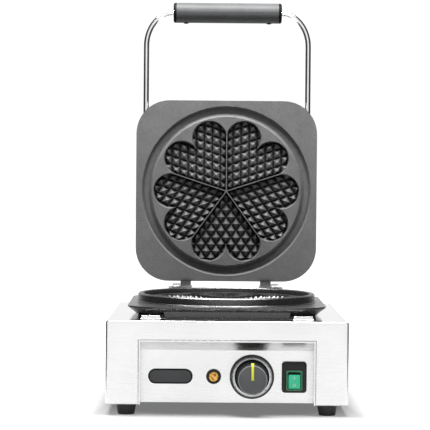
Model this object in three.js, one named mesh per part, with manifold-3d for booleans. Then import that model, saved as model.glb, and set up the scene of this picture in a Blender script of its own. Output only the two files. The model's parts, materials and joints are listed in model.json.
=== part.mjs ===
// Countertop waffle maker: a steel housing with a recessed control panel, a fixed lower
// waffle plate with a round collar, and a hinged lid with the upper plate and a bow handle.
// Units are millimetres. X is to the right, Y goes to the back and Z is up. The origin is on
// the table, under the middle of the whole machine. The lid is modelled open.
import * as THREE from "three";
import { mergeVertices } from "three/addons/utils/BufferGeometryUtils.js";
import Module from "manifold-3d";

const wasm = await Module();
wasm.setup();

// ---------------------------------------------------------------- driving dimensions
const gap = 0.3; // clearance between pieces that touch
const sheet = 1.5; // steel sheet thickness

const housing = { width: 270, front: -145, back: 145, bottom: 12, top: 105, bend: 2.5 };
const recess = { halfWidth: 98.5, top: 83.7, depth: 22, faceTop: 71.5 };
const panelFace = housing.front + recess.depth;
const controlHeight = 41.3;

const foot = { x: 112.3, y: 130, topRadius: 11.4, bottomRadius: 9.3 };

const hinge = { y: 127, z: 124, knuckle: 6.3, pinRadius: 3, lugX: 50.4, lugWidth: 13 };
const bracket = { x: 62, width: 9.2 };

const plate = { size: 228, corner: 42, hingeToEdge: 9.5 };
const plateCentre = plate.hingeToEdge + plate.size / 2; // from the hinge axis
const lowerCentreY = hinge.y - plateCentre;
const flange = { top: 117.5, rim: 1.8, bottom: 112.5, slope: 4 };
const castBody = { bottom: 107.6, inset: 4.2, draft: 6 };
const dishTop = 121.5; // the face between the hearts of the lower plate
const collar = { outer: 105.2, foot: 106.4, inner: 98.5, top: 127.1, round: 1.1 };
const pedestal = { topHalf: 71.8, bottomHalf: 69.4, bottom: 103, front: -109, back: 88, wall: 6 };
const plateLeg = { x: 99.8, y: 84, width: 3.2, length: 14 }; // y from the plate's middle
const supportLip = { inner: 75, outer: 97, y: lowerCentreY - 117.5, top: 108.6 };
const element = { ceiling: 109, ring: 52, radius: 3.2 };
const pan = { bottom: 94, padTop: 101, sensorHoleY: lowerCentreY - 38 };

const lidFaceOffset = 0.5; // the lid's face lies this far behind the hinge axis
const lidThickness = 12;
const groove = { outer: 107.2, outerFloor: 104.8, innerFloor: 97.7, inner: 93.6, depth: 4.5 };
const lidBackY = hinge.y + lidFaceOffset + lidThickness;
const lidBottomZ = hinge.z + plate.hingeToEdge;
const cover = { halfWidth: 94, bottom: 164, top: 352, depth: 18, corner: 26 };
const coverBoss = { x: 76, margin: 16, radius: 5, length: 16 };

const heart = { count: 5, lobeReach: 69.9, wall: 0.6, depth: 7.5, floorShrink: 1.4, faceGrowth: 0.8 };
const sector = Math.PI / heart.count; // half of the angle that one heart takes
const tooth = { pitch: 10.7, height: 6, valley: 0.3 };
// Distance of the first row of teeth from the two dividers beside each heart, starting with
// the heart next to the hinge and going counter-clockwise as seen from above the plate.
const firstRows = [[3.9, 3.9], [2.9, 4.2], [4.9, 2.9], [2.9, 4.9], [4.2, 2.9]];

const rod = { radius: 3.5, x: 102.7, y: lidBackY + 4.3, foot: 178, top: 473, bendWidth: 34, bendHeight: 42 };
const grip = { radius: 12.7, halfLength: 68.5, screwX: 52.5 };
const clampHeights = { lower: 196, upper: 296 };

// The sheathed lead to the lid stands behind the left hinge.
const conduit = { x: -hinge.lugX, radius: 3.5, hole: 4.8, rootY: 137.4, lidY: 150 };

const knob = { x: 28.2, z: controlHeight, baseRadius: 19.5, faceRadius: 15.9, front: -158 };
const bezelRadius = 24.9;
const shaftRadius = 3;
const powerSwitch = { x: 75.6, width: 27.8, height: 35, sunk: 3.4, tilt: 7 };
const lamp = { x: -14.8, radius: 8.4, lens: 5.4 };
const badge = { x: -63.3, width: 50, height: 16.8, thickness: 1.2 };
const boot = { width: 18.6, height: 23 };
const rockerWell = { width: 14, height: 18.4, depth: 7, z: controlHeight - powerSwitch.sunk };
const gland = { x: 78, z: 42, bore: 4.6, end: 157 };
const rearOpening = { halfWidth: 104, bottom: 22, top: 92 };
const rearScrewPlace = { x: 96, z: 28 };
const terminal = { x: 40, y: 112, z: 14.3, halfLength: 21, pitch: 14 };

// ---------------------------------------------------------------- solids
function solidOf(geometry) {
  const bare = new THREE.BufferGeometry();
  bare.setAttribute("position", geometry.getAttribute("position"));
  if (geometry.index) bare.setIndex(geometry.index);
  const merged = mergeVertices(bare, 1e-4);
  const corners = merged.getAttribute("position").array;
  const index = merged.index.array;
  const triangles = [];
  for (let i = 0; i < index.length; i += 3) {
    const [a, b, c] = [index[i], index[i + 1], index[i + 2]];
    if (a !== b && b !== c && a !== c) triangles.push(a, b, c);
  }
  if (signedVolume(corners, triangles) < 0) triangles.reverse();
  return new wasm.Manifold(new wasm.Mesh({
    numProp: 3,
    vertProperties: Float32Array.from(corners),
    triVerts: Uint32Array.from(triangles),
  }));
}

function signedVolume(corners, triangles) {
  const [a, b, c] = [new THREE.Vector3(), new THREE.Vector3(), new THREE.Vector3()];
  let volume = 0;
  for (let i = 0; i < triangles.length; i += 3) {
    a.fromArray(corners, 3 * triangles[i]);
    b.fromArray(corners, 3 * triangles[i + 1]);
    c.fromArray(corners, 3 * triangles[i + 2]);
    volume += a.dot(b.cross(c)) / 6;
  }
  return volume;
}

function geometryOf(solid) {
  const mesh = solid.getMesh();
  const geometry = new THREE.BufferGeometry();
  geometry.setAttribute("position", new THREE.BufferAttribute(mesh.vertProperties, 3));
  geometry.setIndex(new THREE.BufferAttribute(mesh.triVerts, 1));
  geometry.computeVertexNormals();
  return geometry;
}

function block([x0, x1], [y0, y1], [z0, z1]) {
  const geometry = new THREE.BoxGeometry(x1 - x0, y1 - y0, z1 - z0);
  return solidOf(geometry.translate((x0 + x1) / 2, (y0 + y1) / 2, (z0 + z1) / 2));
}

function extrusion(shape, depth, curveSegments) {
  return new THREE.ExtrudeGeometry(shape, { depth, bevelEnabled: false, curveSegments });
}

// A shape drawn in X and Y, standing up between two heights.
function alongZ(shape, [z0, z1], curveSegments = 7) {
  return solidOf(extrusion(shape, z1 - z0, curveSegments).translate(0, 0, z0));
}

// A shape drawn in X and Z, running from front to back.
function alongY(shape, [y0, y1], curveSegments = 7) {
  return solidOf(extrusion(shape, y1 - y0, curveSegments).rotateX(Math.PI / 2).translate(0, y1, 0));
}

// A shape drawn in Y and Z, running from left to right.
function alongX(shape, [x0, x1], curveSegments = 7) {
  const turn = new THREE.Matrix4().makeBasis(
    new THREE.Vector3(0, 1, 0),
    new THREE.Vector3(0, 0, 1),
    new THREE.Vector3(1, 0, 0),
  );
  return solidOf(extrusion(shape, x1 - x0, curveSegments).applyMatrix4(turn).translate(x0, 0, 0));
}

function polygon(points) {
  return new THREE.Shape(points.map(([x, y]) => new THREE.Vector2(x, y)));
}

function circle(x, y, radius) {
  return new THREE.Shape().absarc(x, y, radius, 0, 2 * Math.PI);
}

function roundedRectangle(width, height, radius, x = 0, y = 0) {
  const [w, h] = [width / 2 - radius, height / 2 - radius];
  const shape = new THREE.Shape();
  shape.moveTo(x + w, y - h - radius);
  shape.absarc(x + w, y - h, radius, -Math.PI / 2, 0);
  shape.absarc(x + w, y + h, radius, 0, Math.PI / 2);
  shape.absarc(x - w, y + h, radius, Math.PI / 2, Math.PI);
  shape.absarc(x - w, y - h, radius, Math.PI, 1.5 * Math.PI);
  return shape;
}

// A profile of [radius, height] points turned about a vertical axis.
function turned(profile, segments = 32) {
  const points = profile.map(([radius, height]) => new THREE.Vector2(radius, height));
  return solidOf(new THREE.LatheGeometry(points, segments).rotateX(Math.PI / 2));
}

// A solid that changes evenly from one outline to another between two heights. Both outlines
// have the same number of points and no hollows.
function drafted(lowShape, highShape, [z0, z1], curveSegments) {
  const low = lowShape.extractPoints(curveSegments).shape;
  const high = highShape.extractPoints(curveSegments).shape;
  const cap = THREE.ShapeUtils.triangulateShape(low, []);
  const count = low.length;
  const vertices = [];
  for (let i = 0; i < count; i++) vertices.push(low[i].x, low[i].y, z0);
  for (let i = 0; i < count; i++) vertices.push(high[i].x, high[i].y, z1);
  const triangles = [];
  for (const [a, b, c] of cap) {
    triangles.push(a, c, b);
    triangles.push(a + count, b + count, c + count);
  }
  for (let i = 0; i < count; i++) {
    const next = (i + 1) % count;
    triangles.push(i, next, next + count);
    triangles.push(i, next + count, i + count);
  }
  const geometry = new THREE.BufferGeometry();
  geometry.setAttribute("position", new THREE.Float32BufferAttribute(vertices, 3));
  geometry.setIndex(triangles);
  return solidOf(geometry);
}

// The same, with the heights growing towards the front or the back.
const facingFront = (solid) => solid.rotate([90, 0, 0]);
const facingBack = (solid) => solid.rotate([-90, 0, 0]);

// A round bar along a smooth curve through the points.
function tube(points, radius, sides, steps) {
  const path = new THREE.CatmullRomCurve3(
    points.map((point) => new THREE.Vector3(...point)), false, "centripetal");
  const section = new THREE.Shape();
  for (let i = 0; i < sides; i++) {
    const angle = (2 * Math.PI * (i + 0.5)) / sides;
    const [x, y] = [radius * Math.cos(angle), radius * Math.sin(angle)];
    if (i === 0) section.moveTo(x, y);
    else section.lineTo(x, y);
  }
  return solidOf(new THREE.ExtrudeGeometry(section, { steps, extrudePath: path, bevelEnabled: false }));
}

// ---------------------------------------------------------------- finishes
const finishes = {
  stainless: { color: 0xe2e3e4, roughness: 0.32, metalness: 1 },
  galvanised: { color: 0xb4b8ba, roughness: 0.5, metalness: 1 },
  castIron: { color: 0x3b3b3c, roughness: 0.62, metalness: 0.35 },
  chrome: { color: 0xe8eaec, roughness: 0.06, metalness: 1 },
  hingeSteel: { color: 0xa9abac, roughness: 0.4, metalness: 1 },
  elementSteel: { color: 0x6c6a66, roughness: 0.5, metalness: 1 },
  blackRubber: { color: 0x141414, roughness: 0.8, metalness: 0 },
  gripPlastic: { color: 0x3e3f41, roughness: 0.45, metalness: 0 },
  knobPlastic: { color: 0x2b2d2f, roughness: 0.4, metalness: 0 },
  pointerYellow: { color: 0xd9dd3a, roughness: 0.45, metalness: 0 },
  bezelMetal: { color: 0xc4c6c8, roughness: 0.28, metalness: 1 },
  switchPlastic: { color: 0x161717, roughness: 0.35, metalness: 0 },
  switchBoot: { color: 0x0f7a52, roughness: 0.25, metalness: 0 },
  switchGreen: { color: 0x27c58d, roughness: 0.22, metalness: 0 },
  lampAmber: { color: 0xd48a2a, roughness: 0.15, metalness: 0 },
  badgeGrey: { color: 0x55585b, roughness: 0.4, metalness: 0 },
  terminalCream: { color: 0xd9d2bd, roughness: 0.6, metalness: 0 },
  insulation: { color: 0xd8d4c8, roughness: 0.95, metalness: 0 },
};

function part(name, solid, finish) {
  const mesh = new THREE.Mesh(geometryOf(solid), new THREE.MeshStandardMaterial(finishes[finish]));
  mesh.name = name;
  return mesh;
}

const corners = [
  ["front_left", -1, -1], ["front_right", 1, -1], ["rear_left", -1, 1], ["rear_right", 1, 1],
];
const sides = [["left", -1], ["right", 1]];

// ---------------------------------------------------------------- housing
const topCutout = { halfWidth: 73.2, front: lowerCentreY - 111, back: lowerCentreY + 93 };

function baseHousing() {
  const depth = housing.back - housing.front;
  const half = housing.width / 2;
  const outline = roundedRectangle(housing.width, depth, housing.bend);
  const bend = housing.bend;
  const shoulders = new THREE.Shape();
  shoulders.moveTo(-half, housing.bottom);
  shoulders.lineTo(half, housing.bottom);
  shoulders.absarc(half - bend, housing.top - bend, bend, 0, Math.PI / 2);
  shoulders.absarc(-half + bend, housing.top - bend, bend, Math.PI / 2, Math.PI);
  const shell = alongZ(outline, [housing.bottom, housing.top], 4)
    .intersect(alongY(shoulders, [housing.front, housing.back], 4));
  const inside = block(
    [-half + sheet, half - sheet],
    [housing.front + sheet, housing.back - sheet],
    [housing.bottom - 1, housing.top - sheet],
  );
  const frontOpening = block(
    [-recess.halfWidth, recess.halfWidth],
    [housing.front - 1, housing.front + 2 * sheet],
    [housing.bottom - 1, recess.top],
  );
  const backOpening = block(
    [-rearOpening.halfWidth, rearOpening.halfWidth],
    [housing.back - 2 * sheet, housing.back + 1],
    [rearOpening.bottom, rearOpening.top],
  );
  const cutoutDepth = topCutout.back - topCutout.front;
  const cutoutMiddle = (topCutout.back + topCutout.front) / 2;
  const elementHole = alongZ(
    roundedRectangle(2 * topCutout.halfWidth, cutoutDepth, 5, 0, cutoutMiddle),
    [housing.top - 2 * sheet, housing.top + 1],
    4,
  );
  const conduitHole = alongZ(
    circle(conduit.x, conduit.rootY, conduit.hole), [housing.top - 2 * sheet, housing.top + 1]);
  const hollow = shell.subtract(inside).subtract(frontOpening).subtract(backOpening)
    .subtract(elementHole).subtract(conduitHole);
  return sides.reduce((body, [, side]) => body.add(plateSupport(side)), hollow);
}

// A short strip turned up from the top sheet, just in front of the plate.
function plateSupport(side) {
  const reach = [side * supportLip.inner, side * supportLip.outer].sort((a, b) => a - b);
  return block(reach, [supportLip.y, supportLip.y + sheet], [housing.top - sheet / 2, supportLip.top]);
}

function basePlate() {
  const inner = housing.width / 2 - sheet - gap;
  const behindPanel = panelFace + sheet + gap;
  const [bottom, top] = [housing.bottom + gap, housing.bottom + gap + sheet];
  const ends = [housing.front + sheet + gap, housing.back - sheet - gap];
  const whole = block([-inner, inner], ends, [bottom, top]);
  const notch = block(
    [-recess.halfWidth - gap, recess.halfWidth + gap],
    [housing.front, behindPanel],
    [bottom - 1, top + 1],
  );
  let base = whole.subtract(notch);
  for (const [, sideX, sideY] of corners) {
    const hole = circle(sideX * foot.x, sideY * foot.y, 2.4);
    base = base.subtract(alongZ(hole, [bottom - 1, top + 1], 6));
  }
  return base;
}

function rearPanel() {
  const margin = 8;
  const [y0, y1] = [housing.back - 2 * sheet - gap, housing.back - sheet - gap];
  const halfWidth = rearOpening.halfWidth + margin;
  let panel = block(
    [-halfWidth, halfWidth],
    [y0, y1],
    [rearOpening.bottom - margin + gap, rearOpening.top + margin],
  );
  const slot = { width: 3.6, height: 36, corner: 1.6, pitch: 9, count: 10, x: -26, z: 62 };
  for (let i = 0; i < slot.count; i++) {
    const x = slot.x + (i - (slot.count - 1) / 2) * slot.pitch;
    const outline = roundedRectangle(slot.width, slot.height, slot.corner, x, slot.z);
    panel = panel.subtract(alongY(outline, [y0 - 1, y1 + 1], 1));
  }
  panel = panel.subtract(alongY(circle(gland.x, gland.z, 8.4), [y0 - 1, y1 + 1], 8));
  for (const [, side] of sides) {
    const hole = circle(side * rearScrewPlace.x, rearScrewPlace.z, 1.9);
    panel = panel.subtract(alongY(hole, [y0 - 1, y1 + 1], 5));
  }
  return panel;
}

function controlPanel() {
  const halfWidth = recess.halfWidth - gap;
  const behind = panelFace + sheet;
  const slope = sheet * 1.13; // the bevel's thickness measured along Z
  const front = housing.front;
  const sheetShape = polygon([
    [front, recess.top - gap],
    [front, recess.top - gap - slope],
    [panelFace, recess.faceTop - sheet / 2],
    [panelFace, housing.bottom],
    [behind, housing.bottom],
    [behind, recess.faceTop + sheet / 2],
  ]);
  const flangeShape = polygon([
    [front, recess.top - gap],
    [front, housing.bottom],
    [behind, housing.bottom],
    [behind, recess.faceTop + sheet / 2],
  ]);
  let panel = alongX(sheetShape, [-halfWidth, halfWidth]);
  panel = panel.add(alongX(flangeShape, [-halfWidth, -halfWidth + sheet]));
  panel = panel.add(alongX(flangeShape, [halfWidth - sheet, halfWidth]));
  const through = [panelFace - 1, behind + 1];
  const shaftHole = circle(knob.x, knob.z, 5);
  const lampHole = circle(lamp.x, controlHeight, 5.6);
  const switchHole = roundedRectangle(22.4, 30.4, 1, powerSwitch.x, controlHeight);
  return panel.subtract(alongY(shaftHole, through, 8))
    .subtract(alongY(lampHole, through, 8))
    .subtract(alongY(switchHole, through, 3));
}

function footBody(sideX, sideY) {
  const [recessRadius, recessDepth, hole] = [5.2, 5, 2.4];
  const profile = [
    [recessRadius, 0], [foot.bottomRadius, 0], [foot.topRadius, housing.bottom],
    [hole, housing.bottom], [hole, recessDepth], [recessRadius, recessDepth], [recessRadius, 0],
  ];
  return turned(profile, 18).translate([sideX * foot.x, sideY * foot.y, 0]);
}

function footScrew(sideX, sideY) {
  const [head, shank] = [4.2, 2];
  const profile = [[0, 2.4], [head, 2.4], [head, 4.7], [shank, 4.7], [shank, 19], [0, 19]];
  return turned(profile, 10).translate([sideX * foot.x, sideY * foot.y, 0]);
}

function rearScrew(side) {
  const profile = [[0, -6], [1.5, -6], [1.5, 0], [3.6, 0], [3.6, 0.6], [2.4, 1.5], [0, 1.8]];
  const place = [side * rearScrewPlace.x, housing.back - sheet, rearScrewPlace.z];
  return facingBack(turned(profile, 10)).translate(place);
}

// ---------------------------------------------------------------- waffle plates
// Heights in the lid's lying frame, where the lid's face is at Z = 0.
const coverSeat = -lidThickness - gap;
const coverBack = coverSeat - cover.depth;
const coverScrewPlaces = [-1, 1].flatMap((sideX) =>
  [cover.bottom + coverBoss.margin, cover.top - coverBoss.margin].map((z) =>
    [sideX * coverBoss.x, z - lidBottomZ]));

// One heart pocket: its tip points at the middle of the flower and its axis along +Y. The
// lobes widen from the floor to the face, and upright dividers cut them off at the sides.
function heartPocket(floor, face) {
  const lobeX = heart.lobeReach * Math.sin(sector / 2);
  const lobeY = heart.lobeReach * Math.cos(sector / 2);
  const above = face + 2;
  const [floorRadius, faceRadius] = [lobeX - heart.floorShrink, lobeX + heart.faceGrowth];
  const lobe = turned(
    [[0, floor], [floorRadius, floor], [faceRadius, face], [faceRadius, above], [0, above]], 32);
  const reach = lobeX + lobeY + heart.lobeReach;
  const [across, up] = [Math.sin(sector), Math.cos(sector)];
  const between = polygon([
    [0, 0], [lobeY * across, lobeY * up], [lobeX, lobeY], [-lobeX, lobeY], [-lobeY * across, lobeY * up],
  ]);
  const tip = heart.wall / across;
  const wedge = polygon([[0, tip], [reach * across, tip + reach * up], [-reach * across, tip + reach * up]]);
  return alongZ(between, [floor, above])
    .add(lobe.translate([lobeX, lobeY, 0]))
    .add(lobe.translate([-lobeX, lobeY, 0]))
    .intersect(alongZ(wedge, [floor - 1, above + 1]));
}

// A field of pyramids on the diamond grid that the two dividers of a heart span.
function toothField([rightRow, leftRow], floor) {
  const along = { x: Math.sin(sector), y: Math.cos(sector) };
  const rows = 9;
  const spread = Math.sin(2 * sector);
  const start = [leftRow / spread, rightRow / spread];
  const point = (a, b, z) => [(a - b) * along.x, (a + b) * along.y, z];
  const vertices = [];
  const triangles = [];
  const corner = (i, j) => i * (rows + 1) + j;
  const layer = (z) => {
    for (let i = 0; i <= rows; i++) {
      for (let j = 0; j <= rows; j++) {
        const a = start[0] + (i - 0.5) * tooth.pitch;
        const b = start[1] + (j - 0.5) * tooth.pitch;
        vertices.push(...point(a, b, z));
      }
    }
  };
  layer(floor + tooth.valley);
  layer(floor - 2);
  const under = (rows + 1) ** 2;
  for (let i = 0; i < rows; i++) {
    for (let j = 0; j < rows; j++) {
      const apex = vertices.length / 3;
      vertices.push(...point(start[0] + i * tooth.pitch, start[1] + j * tooth.pitch, floor + tooth.height));
      const ring = [corner(i, j), corner(i + 1, j), corner(i + 1, j + 1), corner(i, j + 1)];
      for (let k = 0; k < 4; k++) triangles.push(ring[k], ring[(k + 1) % 4], apex);
      const low = ring.map((c) => c + under);
      triangles.push(low[0], low[2], low[1], low[0], low[3], low[2]);
    }
  }
  for (let k = 0; k < rows; k++) {
    const edges = [
      [corner(k, 0), corner(k + 1, 0)],
      [corner(rows, k), corner(rows, k + 1)],
      [corner(k + 1, rows), corner(k, rows)],
      [corner(0, k + 1), corner(0, k)],
    ];
    for (const [a, b] of edges) triangles.push(a, a + under, b + under, a, b + under, b);
  }
  const geometry = new THREE.BufferGeometry();
  geometry.setAttribute("position", new THREE.Float32BufferAttribute(vertices, 3));
  geometry.setIndex(triangles);
  return solidOf(geometry);
}

// The five heart pockets, with their teeth left standing, cut down from a face at height z.
function flowerCutter(face, firstAxis) {
  const floor = face - heart.depth;
  const pocket = heartPocket(floor, face);
  const turn = 360 / heart.count;
  const cutters = firstRows.map((rows, k) =>
    pocket.subtract(toothField(rows, floor)).rotate([0, 0, firstAxis - 90 + k * turn]));
  return cutters.reduce((all, cutter) => all.add(cutter));
}

function disc(radius, [z0, z1], segments = 48) {
  return turned([[0, z0], [radius, z0], [radius, z1], [0, z1]], segments);
}

function squareOutline(inset) {
  const size = plate.size - 2 * inset;
  return roundedRectangle(size, size, plate.corner - inset);
}

function lowerPlate() {
  const rimBottom = flange.top - flange.rim;
  const rim = alongZ(squareOutline(0), [rimBottom, flange.top], 6);
  const slope = drafted(squareOutline(flange.slope), squareOutline(0), [flange.bottom, rimBottom], 6);
  const lowInset = castBody.inset + castBody.draft;
  const body = drafted(
    squareOutline(lowInset), squareOutline(castBody.inset), [castBody.bottom, flange.bottom + 0.5], 6);
  const foundation = alongY(
    polygon([
      [-pedestal.topHalf, flange.bottom], [pedestal.topHalf, flange.bottom],
      [pedestal.bottomHalf, pedestal.bottom], [-pedestal.bottomHalf, pedestal.bottom],
    ]),
    [pedestal.front, pedestal.back],
  );
  const inner = pedestal.bottomHalf - pedestal.wall;
  const cavity = block(
    [-inner, inner],
    [pedestal.front + pedestal.wall, pedestal.back - pedestal.wall],
    [pedestal.bottom - 1, element.ceiling],
  );
  const ring = turned([
    [0, flange.top - 1], [collar.foot, flange.top - 1], [collar.foot, flange.top + 0.3],
    [collar.outer + 0.3, flange.top + 1.4], [collar.outer, collar.top - collar.round],
    [collar.outer - collar.round, collar.top], [0, collar.top],
  ], 56);
  const well = turned([
    [0, dishTop], [collar.inner, dishTop], [collar.inner, collar.top - 0.8],
    [collar.inner + 0.8, collar.top], [collar.inner + 0.8, collar.top + 1], [0, collar.top + 1],
  ], 56);
  return rim.add(slope).add(body).add(foundation).add(ring).subtract(well).subtract(cavity)
    .subtract(flowerCutter(dishTop, 90))
    .translate([0, lowerCentreY, 0]);
}

// A ring of tubular element with both ends turned to leave through the middle.
function heatingElement(z) {
  const steps = 14;
  const openAngle = 0.22;
  const points = [[-6, 30, z], [-9, 42, z]];
  for (let i = 0; i <= steps; i++) {
    const angle = Math.PI / 2 + openAngle + ((2 * Math.PI - 2 * openAngle) * i) / steps;
    points.push([element.ring * Math.cos(angle), element.ring * Math.sin(angle), z]);
  }
  points.push([9, 42, z], [6, 30, z]);
  return tube(points, element.radius, 8, 32);
}

function lowerElementCover() {
  const half = pedestal.bottomHalf - 1;
  const top = pedestal.bottom - gap;
  const [front, back] = [pedestal.front + 1, pedestal.back - 1];
  const outside = block([-half, half], [front, back], [pan.bottom, top]);
  const inside = block(
    [-half + sheet, half - sheet], [front + sheet, back - sheet], [pan.bottom + sheet, top + 1]);
  return outside.subtract(inside).translate([0, lowerCentreY, 0]).subtract(sensorHole());
}

function sensorHole() {
  return disc(4.5, [pan.bottom - 4, pedestal.bottom], 12).translate([0, pan.sensorHoleY, 0]);
}

function insulationPad() {
  const inset = 1 + sheet + gap;
  const half = pedestal.bottomHalf - inset;
  const pad = block(
    [-half, half],
    [lowerCentreY + pedestal.front + inset, lowerCentreY + pedestal.back - inset],
    [pan.bottom + sheet + gap, pan.padTop],
  );
  return pad.subtract(sensorHole());
}

function legUnderPlate(sideX, sideY) {
  const [x, y] = [sideX * plateLeg.x, lowerCentreY + sideY * plateLeg.y];
  return block(
    [x - plateLeg.width / 2, x + plateLeg.width / 2],
    [y - plateLeg.length / 2, y + plateLeg.length / 2],
    [housing.top + gap, castBody.bottom - gap],
  );
}

// The upper plate lies face up with its hinge edge at y = 0, as the lid group stands it up.
function upperPlate() {
  const middle = plate.size / 2;
  const slab = alongZ(
    roundedRectangle(plate.size, plate.size, plate.corner, 0, middle), [-lidThickness, 0], 6);
  const ring = turned([
    [groove.inner, 0], [groove.innerFloor, -groove.depth], [groove.outerFloor, -groove.depth],
    [groove.outer, 0], [groove.outer, 1], [groove.inner, 1], [groove.inner, 0],
  ], 56);
  let cast = slab.subtract(ring.translate([0, middle, 0]));
  cast = cast.subtract(flowerCutter(0, -90).translate([0, middle, 0]));
  for (const [x, y] of coverScrewPlaces) {
    const boss = disc(coverBoss.radius, [-lidThickness - coverBoss.length, -lidThickness + 1], 14);
    const hole = disc(2.2, [-lidThickness - coverBoss.length - 1, -lidThickness + 1], 8);
    cast = cast.add(boss.translate([x, y, 0])).subtract(hole.translate([x, y, 0]));
  }
  return cast;
}

// ---------------------------------------------------------------- lid, in the lid's lying frame
function lidCover() {
  const height = cover.top - cover.bottom;
  const middle = (cover.top + cover.bottom) / 2 - lidBottomZ;
  const width = 2 * cover.halfWidth;
  const outside = roundedRectangle(width, height, cover.corner, 0, middle);
  const inside = roundedRectangle(
    width - 2 * sheet, height - 2 * sheet, cover.corner - sheet, 0, middle);
  let shell = alongZ(outside, [coverBack, coverSeat], 4)
    .subtract(alongZ(inside, [coverBack + sheet, coverSeat + 1], 4));
  for (const [x, y] of coverScrewPlaces) {
    const hole = disc(2.3, [coverBack - 1, coverBack + sheet + 0.1], 8);
    shell = shell.subtract(hole.translate([x, y, 0]));
  }
  const edge = cover.bottom - lidBottomZ;
  const conduitZ = hinge.y + lidFaceOffset - conduit.lidY;
  return shell.subtract(alongY(circle(conduit.x, conduitZ, conduit.hole), [edge - 1, edge + 3], 8));
}

function lidCoverScrew([x, y]) {
  const tip = coverBack + 12;
  const profile = [
    [0, coverBack - 1.7], [2.6, coverBack - 1.5], [4, coverBack - gap], [1.8, coverBack - gap],
    [1.8, tip], [0, tip],
  ];
  return turned(profile, 10).translate([x, y, 0]);
}

function lidHingeLug(side) {
  // Drawn in Y and Z of the open lid: a knuckle, a web under the plate's edge and a leg behind it.
  const [y, z] = [hinge.y, hinge.z];
  const back = lidBackY + gap;
  const under = z + plate.hingeToEdge - gap;
  const leg = { thickness: 4, top: z + 34 };
  const web = polygon([
    [y, z - 4], [y + 5.6, z - 2.6], [back + leg.thickness, z + 8], [back + leg.thickness, leg.top],
    [back, leg.top], [back, under], [y - 4.2, under], [y - 5, z],
  ]);
  const x0 = side * hinge.lugX - hinge.lugWidth / 2;
  const span = [x0, x0 + hinge.lugWidth];
  const knuckle = alongX(circle(y, z, hinge.knuckle), span, 8);
  const bore = alongX(circle(y, z, hinge.pinRadius + gap), [span[0] - 1, span[1] + 1], 7);
  return alongX(web, span).add(knuckle).subtract(bore);
}

function hingeBracket(side) {
  const [y, z] = [hinge.y, hinge.z];
  const base = housing.top + gap;
  const web = polygon([
    [y - hinge.knuckle, z], [y - hinge.knuckle, base], [y + 13, base],
    [y + 13, base + 3], [y + hinge.knuckle, base + 6], [y + hinge.knuckle, z],
  ]);
  const x0 = side * bracket.x - bracket.width / 2;
  const span = [x0, x0 + bracket.width];
  const knuckle = alongX(circle(y, z, hinge.knuckle), span, 8);
  const bore = alongX(circle(y, z, hinge.pinRadius + gap), [span[0] - 1, span[1] + 1], 7);
  return alongX(web, span).add(knuckle).subtract(bore);
}

function hingePin(side) {
  const inner = hinge.lugX - hinge.lugWidth / 2 - gap;
  const end = bracket.x + bracket.width / 2 + 5.2;
  const headRadius = 4.6;
  const profile = [
    [0, inner - 1.6], [headRadius, inner - 1.6], [headRadius, inner], [hinge.pinRadius, inner],
    [hinge.pinRadius, end - 0.8], [hinge.pinRadius - 0.8, end], [0, end],
  ];
  return turned(profile, 16).rotate([0, side * 90, 0]).translate([0, hinge.y, hinge.z]);
}

// A round bar bent in the XZ plane. Each station is [x, z, heading], the heading being the
// angle of travel from +X.
function bentBar(stations, y, radius, sides) {
  const vertices = [];
  for (const [x, z, heading] of stations) {
    for (let i = 0; i < sides; i++) {
      const around = (2 * Math.PI * (i + 0.5)) / sides;
      const out = radius * Math.cos(around);
      vertices.push(
        x - out * Math.sin(heading), y + radius * Math.sin(around), z + out * Math.cos(heading));
    }
  }
  const triangles = [];
  const last = (stations.length - 1) * sides;
  for (let i = 0; i < sides; i++) {
    const next = (i + 1) % sides;
    for (let ring = 0; ring < last; ring += sides) {
      const [a, b, c, d] = [ring + i, ring + next, ring + sides + next, ring + sides + i];
      triangles.push(a, b, c, a, c, d);
    }
    if (i > 0 && i < sides - 1) {
      triangles.push(0, next, i);
      triangles.push(last, last + i, last + next);
    }
  }
  const geometry = new THREE.BufferGeometry();
  geometry.setAttribute("position", new THREE.Float32BufferAttribute(vertices, 3));
  geometry.setIndex(triangles);
  return solidOf(geometry);
}

// The bow of the handle: up one side, over the top in two elliptical bends and down the other.
function handleBow() {
  const inner = rod.x - rod.bendWidth;
  const shoulder = rod.top - rod.bendHeight;
  const steps = 8;
  const quarter = Math.PI / 2;
  const stations = [[-rod.x, rod.foot, quarter]];
  for (const [middle, start] of [[-inner, 2 * quarter], [inner, quarter]]) {
    for (let i = 0; i <= steps; i++) {
      const angle = start - (quarter * i) / steps;
      const [across, up] = [rod.bendWidth * Math.cos(angle), rod.bendHeight * Math.sin(angle)];
      const heading = Math.atan2(-rod.bendHeight * Math.cos(angle), rod.bendWidth * Math.sin(angle));
      stations.push([middle + across, shoulder + up, heading]);
    }
  }
  stations.push([rod.x, rod.foot, -quarter]);
  return bentBar(stations, rod.y, rod.radius, 12);
}

function gripHalf(side) {
  const end = grip.halfLength;
  const chamfer = 1.6;
  const profile = [
    [0, -end], [grip.radius - chamfer, -end], [grip.radius, -end + chamfer],
    [grip.radius, end - chamfer], [grip.radius - chamfer, end], [0, end],
  ];
  const barrel = turned(profile, 32).rotate([0, 90, 0]).translate([0, rod.y, rod.top]);
  const bore = alongX(circle(rod.y, rod.top, rod.radius + gap), [-end - 1, end + 1], 7);
  const half = block(
    [-end - 1, end + 1],
    [rod.y - grip.radius - 1, rod.y + grip.radius + 1],
    side > 0 ? [rod.top + gap / 2, rod.top + 20] : [rod.top - 20, rod.top - gap / 2],
  );
  let shell = barrel.subtract(bore).intersect(half);
  if (side < 0) {
    for (const [, place] of sides) {
      const hole = disc(3.6, [rod.top - 20, rod.top - 10], 10);
      shell = shell.subtract(hole.translate([place * grip.screwX, rod.y, 0]));
    }
  }
  return shell;
}

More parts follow.
